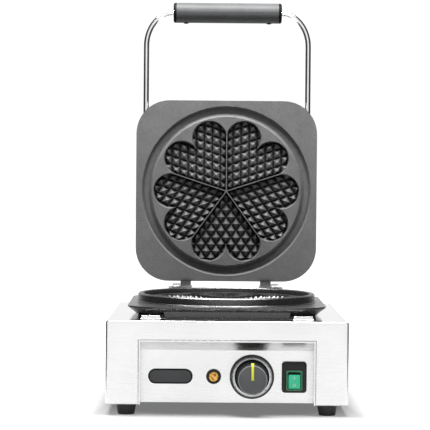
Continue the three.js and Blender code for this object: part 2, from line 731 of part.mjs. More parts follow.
function gripScrew(side) {
  const bottom = rod.top - grip.radius - 1;
  const top = bottom + 3.2;
  const profile = [[0, bottom], [2.2, bottom], [3.2, bottom + 0.8], [3.2, top], [0, top]];
  return turned(profile, 12).translate([side * grip.screwX, rod.y, 0]);
}

function bowClamp(side, z) {
  const [back, height, half] = [lidBackY + gap, 9.2, 8];
  const outline = polygon([
    [-half, back], [half, back], [half, back + height - 2], [half - 2, back + height],
    [-half + 2, back + height], [-half, back + height - 2],
  ]);
  const saddle = alongZ(outline, [z - 7, z + 7]).translate([side * rod.x, 0, 0]);
  const bore = alongZ(circle(side * rod.x, rod.y, rod.radius + gap), [z - 8, z + 8], 7);
  return saddle.subtract(bore);
}

// The sheathed lead between the housing and the lid comes up behind the hinge lug, leans back
// past it and enters the lid's cover from below.
function lidConduit() {
  const { x, rootY, lidY, radius } = conduit;
  const points = [
    [x, rootY, housing.top - 5], [x, rootY + 0.4, housing.top + 5], [x, rootY + 5.6, housing.top + 16],
    [x, lidY - 1.5, housing.top + 26], [x, lidY, housing.top + 37], [x, lidY, cover.bottom - 8],
    [x, lidY, cover.bottom + 5],
  ];
  return tube(points, radius, 10, 18);
}

// ---------------------------------------------------------------- controls
function knobBezel() {
  const back = -panelFace + gap;
  const profile = [
    [5, back], [bezelRadius, back], [bezelRadius - 0.4, back + 1.3], [18.8, back + 1.3],
    [18.4, back + 0.7], [5, back + 0.7], [5, back],
  ];
  return facingFront(turned(profile, 40)).translate([knob.x, 0, knob.z]);
}

function thermostatKnob() {
  const back = -panelFace + gap + 2;
  const front = -knob.front;
  const profile = [
    [shaftRadius + gap, back], [knob.baseRadius, back], [knob.baseRadius, back + 3.2],
    [knob.baseRadius - 1.2, back + 4.4], [knob.faceRadius + 0.9, front - 1.6],
    [knob.faceRadius - 0.6, front], [0, front], [0, front - 6], [shaftRadius + gap, front - 6],
    [shaftRadius + gap, back],
  ];
  const body = facingFront(turned(profile, 40)).translate([knob.x, 0, knob.z]);
  return body.subtract(pointerSpace(gap));
}

// The strip that runs up the front of the knob and back over its rim.
function pointerSpace(extra) {
  const half = 1.4 + extra;
  const rise = knob.faceRadius - 0.2;
  const length = 9;
  const shape = polygon([
    [knob.front - 0.4, knob.z - extra],
    [knob.front + 0.8 + extra, knob.z - extra],
    [knob.front + 0.8 + extra, knob.z + rise - 1.8],
    [knob.front + length + extra, knob.z + rise - 1.2],
    [knob.front + length + extra, knob.z + rise + 2.4],
    [knob.front + 1.2, knob.z + rise + 1.4],
    [knob.front - 0.4, knob.z + rise - 0.6],
  ]);
  return alongX(shape, [knob.x - half, knob.x + half]);
}

function thermostatShaft() {
  const [y0, y1] = [knob.front + 6 + gap, panelFace + sheet + 5];
  const round = alongY(circle(knob.x, knob.z, shaftRadius), [y0, y1], 10);
  const flat = block([knob.x - 4, knob.x + 4], [y0 - 1, y0 + 14], [knob.z + 2, knob.z + 5]);
  return round.subtract(flat);
}

function thermostatBody() {
  const front = panelFace + sheet + gap;
  const neck = alongY(circle(knob.x, knob.z, 9), [front, front + 5], 10);
  const can = alongY(roundedRectangle(44, 34, 6, knob.x, knob.z), [front + 4.5, front + 30], 4);
  const bore = alongY(circle(knob.x, knob.z, shaftRadius + gap), [front - 1, front + 5.5], 10);
  return neck.add(can).subtract(bore);
}

// The sensor is one sealed piece: a bulb under the lower plate and its fine capillary, which
// comes down through the element cover to the thermostat.
function thermostatSensor() {
  const bulbRadius = 2.6;
  const bulbZ = element.ceiling - gap - bulbRadius;
  const holeY = pan.sensorHoleY;
  const bulbFront = holeY + 10;
  const bulb = alongY(circle(0, bulbZ, bulbRadius), [bulbFront, bulbFront + 54], 6);
  const start = panelFace + sheet + gap + 30 + gap;
  const points = [
    [knob.x + 12, start, knob.z + 8], [knob.x + 12, start + 12, knob.z + 8],
    [knob.x + 4, start + 28, knob.z + 18], [10, holeY - 6, 74], [0, holeY, pan.bottom - 4],
    [0, holeY + 1, pan.bottom + 5], [0, holeY + 4, pan.padTop + 3.5], [0, bulbFront + 2, bulbZ],
  ];
  return bulb.add(tube(points, 1, 6, 22));
}

function switchFrame() {
  const face = panelFace - gap;
  const { x: middle, width, height } = powerSwitch;
  const front = alongY(roundedRectangle(width, height, 2.4, middle, controlHeight), [face - 3, face], 4);
  const body = alongY(
    roundedRectangle(width - 6, height - 5.2, 1, middle, controlHeight), [face - 1, face + 22], 3);
  const seat = block(
    [middle - boot.width / 2 - gap, middle + boot.width / 2 + gap],
    [face - 4, face - 1.2],
    [rockerWell.z - boot.height / 2 - gap, rockerWell.z + boot.height / 2 + gap],
  );
  let frame = front.add(body).subtract(seat).subtract(rockerHole([face - 4, face + rockerWell.depth]));
  for (const offset of [-6, 0, 6]) {
    const x = middle + offset;
    const tab = block([x - 0.4, x + 0.4], [face + 21, face + 30], [rockerWell.z - 1, rockerWell.z + 5.3]);
    frame = frame.add(tab);
  }
  return frame;
}

function rockerHole(depths) {
  const { width, height, z } = rockerWell;
  return block(
    [powerSwitch.x - width / 2, powerSwitch.x + width / 2], depths, [z - height / 2, z + height / 2]);
}

function switchBoot() {
  const face = panelFace - gap;
  const outline = roundedRectangle(boot.width, boot.height, 2, powerSwitch.x, rockerWell.z);
  return alongY(outline, [face - 5.4, face - 1.5], 4).subtract(rockerHole([face - 7, face]));
}

// The rocker is drawn level and then tilted to its off position, about its own pivot.
function switchRocker() {
  const [halfWidth, halfHeight] = [6.4, 8];
  const crown = { middle: -6.6, ends: -7.6, back: 1.5 };
  const shape = polygon([
    [crown.middle, 0], [crown.ends, -halfHeight], [crown.back, -halfHeight * 0.55],
    [crown.back + 1.5, 0], [crown.back, halfHeight * 0.55], [crown.ends, halfHeight],
  ]);
  return alongX(shape, [-halfWidth, halfWidth])
    .rotate([powerSwitch.tilt, 0, 0])
    .translate([powerSwitch.x, panelFace - gap, rockerWell.z]);
}

function lampRing() {
  const back = -panelFace + gap;
  const [barrel, rim] = [5.1, lamp.lens + 0.9];
  const profile = [
    [0, back - 14], [barrel, back - 14], [barrel, back], [lamp.radius, back],
    [lamp.radius, back + 1.4], [lamp.radius - 1.2, back + 2.2], [rim, back + 2.2],
    [rim, back + 0.7], [0, back + 0.7],
  ];
  return facingFront(turned(profile, 24)).translate([lamp.x, 0, controlHeight]);
}

function lampLens() {
  const base = -panelFace + 2 * gap + 0.7;
  const profile = [[0, base], [lamp.lens, base]];
  const steps = 5;
  for (let i = 0; i <= steps; i++) {
    const angle = (i / steps) * (Math.PI / 2);
    profile.push([lamp.lens * Math.cos(angle), base + 1 + 3.2 * Math.sin(angle)]);
  }
  profile[profile.length - 1][0] = 0;
  return facingFront(turned(profile, 24)).translate([lamp.x, 0, controlHeight]);
}

function badgePlate() {
  const { width, height, thickness } = badge;
  const face = panelFace - gap;
  return alongY(
    roundedRectangle(width, height, height / 2 - 0.01, badge.x, controlHeight), [face - thickness, face], 5);
}

// ---------------------------------------------------------------- mains inlet
function cableGland() {
  const wall = housing.back - 2 * sheet - gap;
  const outer = wall + sheet;
  const flange = alongY(hexagon(gland.x, gland.z, 12.5), [outer + gap, outer + 4.5]);
  const thread = alongY(circle(gland.x, gland.z, 8), [wall - 9, outer + 9], 8);
  const nut = alongY(hexagon(gland.x, gland.z, 12), [wall - gap - 4, wall - gap]);
  const bore = alongY(circle(gland.x, gland.z, gland.bore), [wall - 10, outer + 10], 7);
  return flange.add(thread).add(nut).subtract(bore);
}

function glandNut() {
  const start = housing.back - sheet - 2 * gap + 4.8;
  const profile = [
    [8 + gap, start], [10.6, start], [10.6, gland.end - 4], [9.4, gland.end - 1.2],
    [7, gland.end], [gland.bore, gland.end], [gland.bore, gland.end - 2.4],
    [8 + gap, gland.end - 2.4], [8 + gap, start],
  ];
  return facingBack(turned(profile, 20)).translate([gland.x, 0, gland.z]);
}

function hexagon(x, y, radius) {
  const points = [];
  for (let i = 0; i < 6; i++) {
    const angle = (i * Math.PI) / 3;
    points.push([x + radius * Math.cos(angle), y + radius * Math.sin(angle)]);
  }
  return polygon(points);
}

function terminalBlock() {
  const { x, y, z, halfLength, pitch } = terminal;
  const ends = [x - halfLength, x + halfLength];
  let body = block(ends, [y - 9, y + 9], [z, z + 8]).add(block(ends, [y - 5, y + 5], [z, z + 17]));
  for (const place of [x - pitch, x, x + pitch]) {
    body = body.subtract(block([place - 4.5, place + 4.5], [y - 3.6, y + 3.6], [z + 10, z + 18]));
  }
  return body;
}

// ---------------------------------------------------------------- assembly
const machine = new THREE.Group();

const base = new THREE.Group();
base.add(part("base_housing", baseHousing(), "stainless"));
base.add(part("base_plate", basePlate(), "galvanised"));
base.add(part("control_panel", controlPanel(), "stainless"));
base.add(part("rear_panel", rearPanel(), "stainless"));
for (const [place, sideX, sideY] of corners) {
  base.add(part(`foot_${place}`, footBody(sideX, sideY), "blackRubber"));
  base.add(part(`foot_screw_${place}`, footScrew(sideX, sideY), "galvanised"));
  base.add(part(`plate_leg_${place}`, legUnderPlate(sideX, sideY), "castIron"));
}
for (const [place, side] of sides) {
  base.add(part(`rear_screw_${place}`, rearScrew(side), "galvanised"));
  base.add(part(`hinge_bracket_${place}`, hingeBracket(side), "hingeSteel"));
  base.add(part(`hinge_pin_${place}`, hingePin(side), "hingeSteel"));
}
base.add(part("lower_plate", lowerPlate(), "castIron"));
const lowerElement = heatingElement(element.ceiling - gap - element.radius);
base.add(part("lower_heating_element", lowerElement.translate([0, lowerCentreY, 0]), "elementSteel"));
base.add(part("lower_element_cover", lowerElementCover(), "galvanised"));
base.add(part("insulation_pad", insulationPad(), "insulation"));
base.add(part("thermostat_body", thermostatBody(), "galvanised"));
base.add(part("thermostat_sensor", thermostatSensor(), "hingeSteel"));
base.add(part("knob_bezel", knobBezel(), "bezelMetal"));
base.add(part("switch_frame", switchFrame(), "switchPlastic"));
base.add(part("switch_boot", switchBoot(), "switchBoot"));
base.add(part("lamp_ring", lampRing(), "switchPlastic"));
base.add(part("lamp_lens", lampLens(), "lampAmber"));
base.add(part("badge_plate", badgePlate(), "badgeGrey"));
base.add(part("terminal_block", terminalBlock(), "terminalCream"));
base.add(part("cable_gland", cableGland(), "switchPlastic"));
base.add(part("gland_nut", glandNut(), "switchPlastic"));
base.add(part("lid_conduit", lidConduit(), "hingeSteel"));
machine.add(base);

const controls = new THREE.Group();
controls.add(part("thermostat_shaft", thermostatShaft(), "hingeSteel"));
controls.add(part("thermostat_knob", thermostatKnob(), "knobPlastic"));
controls.add(part("knob_pointer", pointerSpace(0), "pointerYellow"));
controls.add(part("switch_rocker", switchRocker(), "switchGreen"));
machine.add(controls);

// Pieces drawn lying face up, stood up on their hinge edge.
const lyingLid = new THREE.Group();
lyingLid.position.set(0, hinge.y + lidFaceOffset, lidBottomZ);
lyingLid.rotation.x = Math.PI / 2;
lyingLid.add(part("upper_plate", upperPlate(), "castIron"));
lyingLid.add(part("lid_cover", lidCover(), "stainless"));
const upperElement = heatingElement(coverSeat - element.radius);
lyingLid.add(part("upper_heating_element", upperElement.translate([0, plate.size / 2, 0]), "elementSteel"));
coverScrewPlaces.forEach((place, i) => {
  lyingLid.add(part(`cover_screw_${i + 1}`, lidCoverScrew(place), "galvanised"));
});
machine.add(lyingLid);

const standingLid = new THREE.Group();
standingLid.add(part("handle_bow", handleBow(), "chrome"));
standingLid.add(part("grip_upper_half", gripHalf(1), "gripPlastic"));
standingLid.add(part("grip_lower_half", gripHalf(-1), "gripPlastic"));
for (const [place, side] of sides) {
  standingLid.add(part(`grip_screw_${place}`, gripScrew(side), "chrome"));
  standingLid.add(part(`lid_hinge_lug_${place}`, lidHingeLug(side), "hingeSteel"));
  for (const [level, height] of Object.entries(clampHeights)) {
    standingLid.add(part(`bow_clamp_${place}_${level}`, bowClamp(side, height), "hingeSteel"));
  }
}
machine.add(standingLid);

export default machine;
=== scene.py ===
# Looks of the countertop waffle maker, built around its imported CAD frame. Lengths are metres.
# X is to the right, Y goes to the back, Z is up and the feet stand on Z = 0. The lid is open.
import json
import math

import bmesh
import bpy
from mathutils import Matrix, Vector


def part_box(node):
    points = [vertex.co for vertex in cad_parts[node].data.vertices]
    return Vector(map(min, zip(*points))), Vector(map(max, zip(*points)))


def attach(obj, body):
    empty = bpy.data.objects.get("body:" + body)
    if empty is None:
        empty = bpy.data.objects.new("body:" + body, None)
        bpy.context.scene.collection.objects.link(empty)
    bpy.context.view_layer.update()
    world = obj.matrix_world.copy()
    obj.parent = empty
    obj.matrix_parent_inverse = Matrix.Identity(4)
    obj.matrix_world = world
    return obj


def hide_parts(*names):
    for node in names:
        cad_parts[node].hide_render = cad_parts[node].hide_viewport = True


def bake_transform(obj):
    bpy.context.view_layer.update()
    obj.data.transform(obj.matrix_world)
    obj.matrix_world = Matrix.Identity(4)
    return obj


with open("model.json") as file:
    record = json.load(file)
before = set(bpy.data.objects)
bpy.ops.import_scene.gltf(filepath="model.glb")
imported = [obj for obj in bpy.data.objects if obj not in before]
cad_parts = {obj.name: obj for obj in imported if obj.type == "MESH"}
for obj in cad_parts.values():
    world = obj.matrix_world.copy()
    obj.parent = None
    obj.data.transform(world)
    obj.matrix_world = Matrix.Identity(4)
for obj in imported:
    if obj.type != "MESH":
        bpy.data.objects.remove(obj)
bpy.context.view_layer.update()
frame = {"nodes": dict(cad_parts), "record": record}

MM = 0.001
QUARTER = math.pi / 2
TURN = 2 * math.pi
WHITE = (1, 1, 1, 1)

# ---------------------------------------------------------------- driving dimensions
# Edges of the CAD nodes and of the new pieces.
SHARP_ANGLE = 32
CONTROL_SHARP_ANGLE = 40
WELD_DISTANCE = 0.01 * MM
EDGE_WIDTHS = {
    "base_housing": 1.2 * MM, "switch_rocker": 0.5 * MM, "lid_cover": 0.8 * MM,
    "hinge_bracket_left": 0.5 * MM, "hinge_bracket_right": 0.5 * MM,
    "lid_hinge_lug_left": 0.5 * MM, "lid_hinge_lug_right": 0.5 * MM,
}

# Handle: a rod with two elliptical bends, and a barrel in two halves with a fine groove near each end.
ROD_RADIUS = 3.5 * MM
ROD_SIDES = 24
BEND_WIDTH, BEND_HEIGHT, BEND_STEPS = 34 * MM, 42 * MM, 24
GRIP_HALF_LENGTH, GRIP_RADIUS, GRIP_BORE = 68.5 * MM, 12.7 * MM, 3.8 * MM
GRIP_SPLIT, GRIP_END_ROUND = 0.15 * MM, 2.4 * MM
GROOVE_FROM_END, GROOVE_DEPTH = 3.6 * MM, 0.4 * MM
GROOVE_TOP_HALF, GROOVE_FLOOR_HALF = 0.25 * MM, 0.1 * MM

# Knob, its pointer and the dial plate: radii first, then heights and depths.
KNOB_SHAFT, KNOB_SKIRT, KNOB_NECK, KNOB_FACE = 3.8 * MM, 19.5 * MM, 18.4 * MM, 16.6 * MM
KNOB_ROUND, SKIRT_HEIGHT, FACE_DEPTH = 1.2 * MM, 4.4 * MM, 0.3 * MM
POINTER_HALF, POINTER_RISE, POINTER_DROP = 1.4 * MM, 16.2 * MM, 8.5 * MM
DIAL_RADIUS, DIAL_DISH, DIAL_INNER, DIAL_HOLE = 24.9 * MM, 21.6 * MM, 19.2 * MM, 5 * MM
MARK_RADIUS = 21.4 * MM
# Angle from the top in degrees, length and width in millimetres.
DIAL_MARKS = ((0, 1.6, 1.0), (90, 1.6, 0.6), (-90, 1.4, 0.6), (135, 2.2, 0.8), (112, 1.4, 0.6),
              (-58, 1.2, 0.5), (58, 1.2, 0.5), (-122, 1.2, 0.5))

# Signal lamp: radii first, then lengths.
LAMP_BODY, LAMP_COLLAR, LAMP_MOUTH, LAMP_LENS = 5.1 * MM, 8.4 * MM, 6.3 * MM, 5.4 * MM
LAMP_BODY_LENGTH, COLLAR_HEIGHT, COLLAR_ROUND, MOUTH_DEPTH = 14 * MM, 2.2 * MM, 1.2 * MM, 1.5 * MM
LENS_WALL, LENS_FACETS, LENS_STEPS = 1.1 * MM, 12, 5

# Rocker switch.
FRAME_CORNER, FRAME_BODY_END = 3.6 * MM, 8 * MM
ROCKER_HOLE = (14 * MM, 18.4 * MM, 0.8 * MM)
ROCKER_DEPTH = 7 * MM
ROCKER_PIVOT_Z, ROCKER_CROWN = 37.9 * MM, 6.6 * MM
ROCKER_TILT, ROCKER_SLOPE = math.radians(7), math.radians(7.1)
MARK_SUNK, MARK_RAISED = -0.1 * MM, 0.12 * MM
ON_BAR_HALF, ON_BAR_LOW, ON_BAR_HIGH = 0.45 * MM, 2.6 * MM, 5.6 * MM
OFF_RING_UP, OFF_RING_INNER, OFF_RING_OUTER, OFF_RING_STEPS = -4.3 * MM, 1.1 * MM, 1.7 * MM, 24

# Conduit.
HOUSING_TOP, RIB_PITCH, RIB_WAIST = 105 * MM, 0.6 * MM, 0.88

BODY_OF = {node: body for body, nodes in frame["record"]["behaviour"]["bodies"].items() for node in nodes}


def low(node):
    return Vector(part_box(node)[0])


def high(node):
    return Vector(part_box(node)[1])


def middle(node):
    return (low(node) + high(node)) / 2


def grey(level):
    return (level, level, level)


# ---------------------------------------------------------------- camera and light
def make_camera():
    """A long lens in front of the machine, looking slightly down on it."""
    camera = bpy.data.objects.new("camera", bpy.data.cameras.new("camera"))
    bpy.context.scene.collection.objects.link(camera)
    camera.data.sensor_width = 36
    camera.data.lens = 146.8
    camera.data.clip_end = 50
    right, down, tilt = math.radians(0.154), math.radians(1.212), 0.0082
    place = Matrix.Translation((-0.020, -2.086, 0.264))
    yaw = Matrix.Rotation(-right, 4, "Z")
    pitch = Matrix.Rotation(QUARTER - down, 4, "X")
    roll = Matrix.Rotation(tilt, 4, "Z")
    camera.matrix_world = place @ yaw @ pitch @ roll
    bpy.context.scene.camera = camera


def smooth_range(nodes, band, ends):
    """A node that fades from one end to the other over a band of its input."""
    ranged = nodes.new("ShaderNodeMapRange")
    ranged.interpolation_type = "SMOOTHSTEP"
    ranged.inputs["From Min"].default_value, ranged.inputs["From Max"].default_value = band
    ranged.inputs["To Min"].default_value, ranged.inputs["To Max"].default_value = ends
    return ranged


def make_world():
    """A white studio with a dark wall on each side and a grey ceiling. Matt surfaces get less of its light
    than shiny ones, and the camera itself sees plain white."""
    matt_strength, camera_strength = 0.1, 1.05
    world = bpy.data.worlds.new("studio")
    bpy.context.scene.world = world
    world.use_nodes = True
    nodes, links = world.node_tree.nodes, world.node_tree.links
    nodes.clear()
    direction = nodes.new("ShaderNodeTexCoord")
    split = nodes.new("ShaderNodeSeparateXYZ")
    sideways = nodes.new("ShaderNodeMath")
    sideways.operation = "ABSOLUTE"
    wall = smooth_range(nodes, (0.22, 0.75), (0.97, 0.04))
    ceiling = smooth_range(nodes, (0.3, 0.65), (1, 0.3))
    room = nodes.new("ShaderNodeMath")
    room.operation = "MULTIPLY"
    seen = nodes.new("ShaderNodeLightPath")
    matt = nodes.new("ShaderNodeMix")
    strength = nodes.new("ShaderNodeMix")
    backdrop = nodes.new("ShaderNodeBackground")
    output = nodes.new("ShaderNodeOutputWorld")
    matt.inputs["B"].default_value = matt_strength
    strength.inputs["B"].default_value = camera_strength
    backdrop.inputs["Color"].default_value = WHITE
    links.new(direction.outputs["Generated"], split.inputs[0])
    links.new(split.outputs["X"], sideways.inputs[0])
    links.new(sideways.outputs[0], wall.inputs["Value"])
    links.new(split.outputs["Z"], ceiling.inputs["Value"])
    links.new(wall.outputs["Result"], room.inputs[0])
    links.new(ceiling.outputs["Result"], room.inputs[1])
    links.new(seen.outputs["Is Diffuse Ray"], matt.inputs["Factor"])
    links.new(room.outputs[0], matt.inputs["A"])
    links.new(seen.outputs["Is Camera Ray"], strength.inputs["Factor"])
    links.new(matt.outputs["Result"], strength.inputs["A"])
    links.new(strength.outputs["Result"], backdrop.inputs["Strength"])
    links.new(backdrop.outputs[0], output.inputs["Surface"])


def make_light():
    """One wide softbox overhead, tipped a little towards the back."""
    place, target = Vector((-0.06, -0.08, 1.05)), Vector((0, 0.08, 0.1))
    data = bpy.data.lights.new("top_softbox", "AREA")
    data.shape = "RECTANGLE"
    data.size, data.size_y = 0.9, 0.34
    data.energy = 40
    light = bpy.data.objects.new("top_softbox", data)
    bpy.context.scene.collection.objects.link(light)
    aim = (target - place).to_track_quat("-Z", "Y")
    light.matrix_world = Matrix.Translation(place) @ aim.to_matrix().to_4x4()


def make_floor():
    """A roll of white paper: narrow beside the machine and wider towards the back."""
    half_width, back_half_width = 0.37, 1.9
    front, widens, back = -6, -0.05, 9
    corners = [(-half_width, front, 0), (half_width, front, 0), (half_width, widens, 0),
               (back_half_width, back, 0), (-back_half_width, back, 0), (-half_width, widens, 0)]
    mesh = bpy.data.meshes.new("floor")
    mesh.from_pydata(corners, [], [tuple(range(len(corners)))])
    floor = bpy.data.objects.new("floor", mesh)
    bpy.context.scene.collection.objects.link(floor)
    floor.data.materials.append(floor_look())


# ---------------------------------------------------------------- material building
class Look:
    """A material with one Principled shader, and short ways to feed it procedural detail."""

    def __init__(self, name, color, roughness, metallic=0.0, **values):
        self.material = bpy.data.materials.new(name)
        self.material.use_nodes = True
        self.nodes = self.material.node_tree.nodes
        self.links = self.material.node_tree.links
        self.shader = self.nodes["Principled BSDF"]
        self.shader.inputs["Base Color"].default_value = (*color, 1)
        self.shader.inputs["Roughness"].default_value = roughness
        self.shader.inputs["Metallic"].default_value = metallic
        for socket, value in values.items():
            self.shader.inputs[socket.replace("_", " ")].default_value = value
        self.place = self.nodes.new("ShaderNodeTexCoord")

    def plug(self, socket, value):
        """Links another node's output into a socket, or sets a plain value on it."""
        if isinstance(value, bpy.types.NodeSocket):
            self.links.new(value, socket)
        else:
            socket.default_value = value

    def noise(self, scale, stretch=(1, 1, 1), detail=4.0, roughness=0.6):
        mapping = self.nodes.new("ShaderNodeMapping")
        mapping.inputs["Scale"].default_value = stretch
        texture = self.nodes.new("ShaderNodeTexNoise")
        texture.inputs["Scale"].default_value = scale
        texture.inputs["Detail"].default_value = detail
        texture.inputs["Roughness"].default_value = roughness
        self.links.new(self.place.outputs["Object"], mapping.inputs["Vector"])
        self.links.new(mapping.outputs["Vector"], texture.inputs["Vector"])
        return texture.outputs["Fac"]

    def patches(self, scale):
        """Cells of even grey, each of its own level."""
        texture = self.nodes.new("ShaderNodeTexVoronoi")
        texture.inputs["Scale"].default_value = scale
        self.links.new(self.place.outputs["Object"], texture.inputs["Vector"])
        level = self.nodes.new("ShaderNodeRGBToBW")
        self.links.new(texture.outputs["Color"], level.inputs[0])
        return level.outputs[0]

    def spread(self, value, ends, band=(0.3, 0.7)):
        """Maps a texture value from band to ends."""
        ranged = self.nodes.new("ShaderNodeMapRange")
        ranged.inputs["From Min"].default_value, ranged.inputs["From Max"].default_value = band
        ranged.inputs["To Min"].default_value, ranged.inputs["To Max"].default_value = ends
        self.links.new(value, ranged.inputs["Value"])
        return ranged.outputs["Result"]

    def maths(self, operation, first, second=0):
        node = self.nodes.new("ShaderNodeMath")
        node.operation = operation
        self.plug(node.inputs[0], first)
        self.plug(node.inputs[1], second)
        return node.outputs[0]

    def mix(self, factor, first, second):
        """A number between first and second."""
        node = self.nodes.new("ShaderNodeMix")
        self.plug(node.inputs["Factor"], factor)
        self.plug(node.inputs["A"], first)
        self.plug(node.inputs["B"], second)
        return node.outputs["Result"]

    def mix_colors(self, factor, first, second, method="MIX"):
        node = self.nodes.new("ShaderNodeMix")
        node.data_type = "RGBA"
        node.blend_type = method
        self.plug(node.inputs["Factor"], factor)
        self.plug(node.inputs["A"], first)
        self.plug(node.inputs["B"], second)
        return node.outputs["Result"]

    def tones(self, value, dark, light, band=(0.3, 0.7)):
        """A colour that runs from dark to light with a texture value."""
        return self.mix_colors(self.spread(value, (0, 1), band), (*dark, 1), (*light, 1))

    def feed(self, socket, value):
        self.links.new(value, self.shader.inputs[socket])

    def bump(self, value, depth, strength, below=None):
        """Adds relief of the given depth on top of an earlier bump."""
        node = self.nodes.new("ShaderNodeBump")
        node.inputs["Distance"].default_value = depth
        node.inputs["Strength"].default_value = strength
        self.links.new(value, node.inputs["Height"])
        if below is not None:
            self.links.new(below, node.inputs["Normal"])
        self.feed("Normal", node.outputs["Normal"])
        return node.outputs["Normal"]


def floor_look():
    """White paper that glows faintly: painted light. It is weakest under the machine, where a soft shadow
    stays.
    """
    paper, haze = 0.25, 0.005
    look = Look("floor", grey(paper), 0.75, Specular_IOR_Level=0.1, Emission_Color=WHITE)
    look.feed("Base Color", look.tones(look.noise(1.5), grey(paper - haze), grey(paper + haze)))
    position = look.place.outputs["Object"]
    length = look.nodes.new("ShaderNodeVectorMath")
    length.operation = "LENGTH"
    look.links.new(position, length.inputs[0])
    distance = length.outputs["Value"]
    split = look.nodes.new("ShaderNodeSeparateXYZ")
    look.links.new(position, split.inputs[0])
    sideways = look.maths("ABSOLUTE", split.outputs["X"])
    # Painted light: the glow rises beside and away from the machine and hides its cast shadow there.
    near = look.spread(distance, (0.16, 0.45), (0.145, 0.23))
    beside = look.spread(sideways, (0, 0.9), (0.13, 0.175))
    away = look.spread(distance, (0.1, 1.1), (0.3, 0.95))
    look.feed("Emission Strength", look.maths("MAXIMUM", look.maths("MAXIMUM", near, beside), away))
    return look.material


def brushed_look(name, color, roughness, top_roughness, grain):
    """Sheet metal brushed in one direction, with fine long scratches. Faces that look up are smoother."""
    look = Look(name, color, roughness, 1.0)
    faces = look.nodes.new("ShaderNodeSeparateXYZ")
    look.links.new(look.place.outputs["Normal"], faces.inputs[0])
    upward = faces.outputs["Z"]
    along = 9
    on_walls = look.noise(1.0, (along, along, grain), 3)
    on_tops = look.noise(1.0, (along, grain, along), 3)
    streaks = look.mix(look.maths("ABSOLUTE", upward), on_walls, on_tops)
    matt = look.spread(streaks, (roughness - 0.02, roughness + 0.03))
    look.feed("Roughness", look.mix(look.maths("MAXIMUM", upward, 0), matt, top_roughness))
    bright = tuple(min(1, c * 1.03) for c in color)
    dull = tuple(c * 0.965 for c in color)
    look.feed("Base Color", look.tones(look.noise(14, detail=3), dull, bright))
    look.bump(streaks, 0.02 * MM, 0.12)
    return look.material


def cast_iron_look(name, dark, light, shine, roughness):
    """Seasoned cast iron: a satin skin over fine sand grain, with painted shade nearly black in the hollows.
    """
    look = Look(name, light, roughness, 0.0, Specular_IOR_Level=shine)
    grain = look.noise(520, detail=5, roughness=0.75)
    blotch = look.noise(60, detail=4)
    # Painted shade: ambient occlusion darkens the colour in the pockets and between the teeth.
    hollow_shade = look.nodes.new("ShaderNodeAmbientOcclusion")
    hollow_shade.samples = 6
    hollow_shade.inputs["Distance"].default_value = 6 * MM
    sand = look.tones(grain, grey(0.72), grey(1))
    skin_color = look.mix_colors(1, look.tones(blotch, dark, light), sand, "MULTIPLY")
    unshaded = look.spread(hollow_shade.outputs["AO"], (0, 1), (0.5, 0.95))
    look.feed("Base Color", look.mix_colors(unshaded, (*grey(0.004), 1), skin_color))
    look.feed("Roughness", look.spread(grain, (roughness - 0.06, roughness + 0.1)))
    coarse = look.bump(blotch, 0.4 * MM, 0.25)
    look.bump(grain, 0.3 * MM, 0.9, coarse)
    return look.material


def plastic_look(name, color, roughness, grain=2600, depth=0.03 * MM, **values):
    """Moulded plastic or rubber with a fine spark-eroded grain."""
    look = Look(name, color, roughness, 0.0, **values)
    spark = look.noise(grain, detail=2)
    look.feed("Roughness", look.spread(spark, (roughness - 0.05, roughness + 0.06)))
    darker = tuple(c * 0.9 for c in color)
    lighter = tuple(min(1, c * 1.12) for c in color)
    look.feed("Base Color", look.tones(look.noise(45, detail=3), darker, lighter))
    look.bump(spark, depth, 0.5)
    return look.material


def lens_look():
    """Amber glass over a bright reflector: it glows in patches."""
    look = Look("lamp_amber", (0.75, 0.35, 0.05), 0.06, Emission_Strength=0.45)
    patches, band = look.patches(420), (0.2, 0.8)
    look.feed("Base Color", look.tones(patches, (0.3, 0.1, 0.02), (0.95, 0.55, 0.1), band))
    look.feed("Emission Color", look.tones(patches, (0.25, 0.08, 0.02), (1.0, 0.6, 0.12), band))
    return look.material


def polished_look(name, color, roughness):
    look = Look(name, color, roughness, 1.0)
    smear = look.noise(35, detail=3)
    look.feed("Roughness", look.spread(smear, (roughness * 0.7, roughness * 1.5)))
    look.feed("Base Color", look.tones(smear, tuple(c * 0.96 for c in color), color))
    return look.material


def steel_look(name, dark, light, roughness):
    """Plain steel with worn, smoother spots that are also lighter."""
    look = Look(name, light, roughness, 1.0)
    wear = look.noise(220, detail=5)
    look.feed("Base Color", look.tones(wear, dark, light))
    look.feed("Roughness", look.spread(wear, (roughness + 0.1, roughness - 0.08)))
    look.bump(wear, 0.08 * MM, 0.5)
    return look.material


def galvanised_look():
    look = Look("galvanised", (0.6, 0.62, 0.63), 0.42, 1.0)
    spangle, band = look.patches(90), (0.1, 0.9)
    look.feed("Base Color", look.tones(spangle, (0.46, 0.48, 0.49), (0.7, 0.72, 0.73), band))
    look.feed("Roughness", look.spread(spangle, (0.34, 0.52), band))
    return look.material


def fibre_look():
    look = Look("insulation", (0.7, 0.67, 0.6), 0.95, Sheen_Weight=0.3)
    fibres = look.noise(900, (1, 0.15, 1), detail=5)
    look.feed("Base Color", look.tones(fibres, (0.58, 0.55, 0.48), (0.78, 0.75, 0.68)))
    look.bump(fibres, 0.5 * MM, 0.8)
    return look.material


LOOKS = {}
# Nodes that look different from the slot in their record.
SPECIAL_LOOKS = {"lower_plate": "shaded_lower_iron", "grip_screw_left": "grip_end", "grip_screw_right": "grip_end"}


def add_brushed(name, *values):
    LOOKS[name] = brushed_look(name, *values)


def add_iron(name, *values):
    LOOKS[name] = cast_iron_look(name, *values)


def add_steel(name, *values):
    LOOKS[name] = steel_look(name, *values)


def add_plastic(name, *values, **more):
    LOOKS[name] = plastic_look(name, *values, **more)


